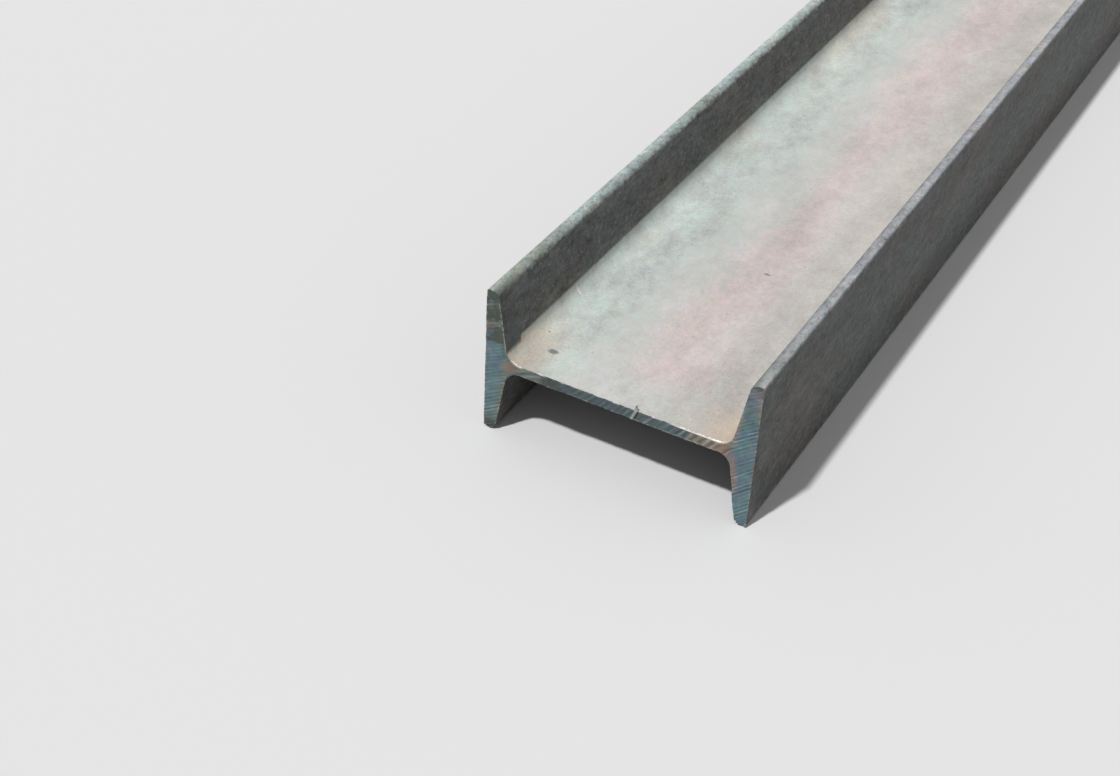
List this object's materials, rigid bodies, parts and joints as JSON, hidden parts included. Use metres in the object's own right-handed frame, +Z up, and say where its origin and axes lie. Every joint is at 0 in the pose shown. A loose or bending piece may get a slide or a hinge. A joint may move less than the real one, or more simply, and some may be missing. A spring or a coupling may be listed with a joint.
{
  "type": "steel i-beam",
  "caption": "Hot-rolled steel I-beam with tapered flanges and rounded roots and toes, a sawn stock length lying on its flange edges.",
  "frame": {"origin": "middle of the footprint, on the ground that the flange edges rest on", "axes": "+X across the section from one flange to the other, +Y along the length, +Z up; the web is level and the flanges stand on edge"},
  "size_m": [0.14, 6, 0.08],
  "materials": {
    "rolled_steel": "as-rolled grey mill scale with a light bloom of rust, sawn ends bare"
  },
  "bodies": {
    "root": {"i_beam": "rolled_steel"}
  },
  "joints": []
}
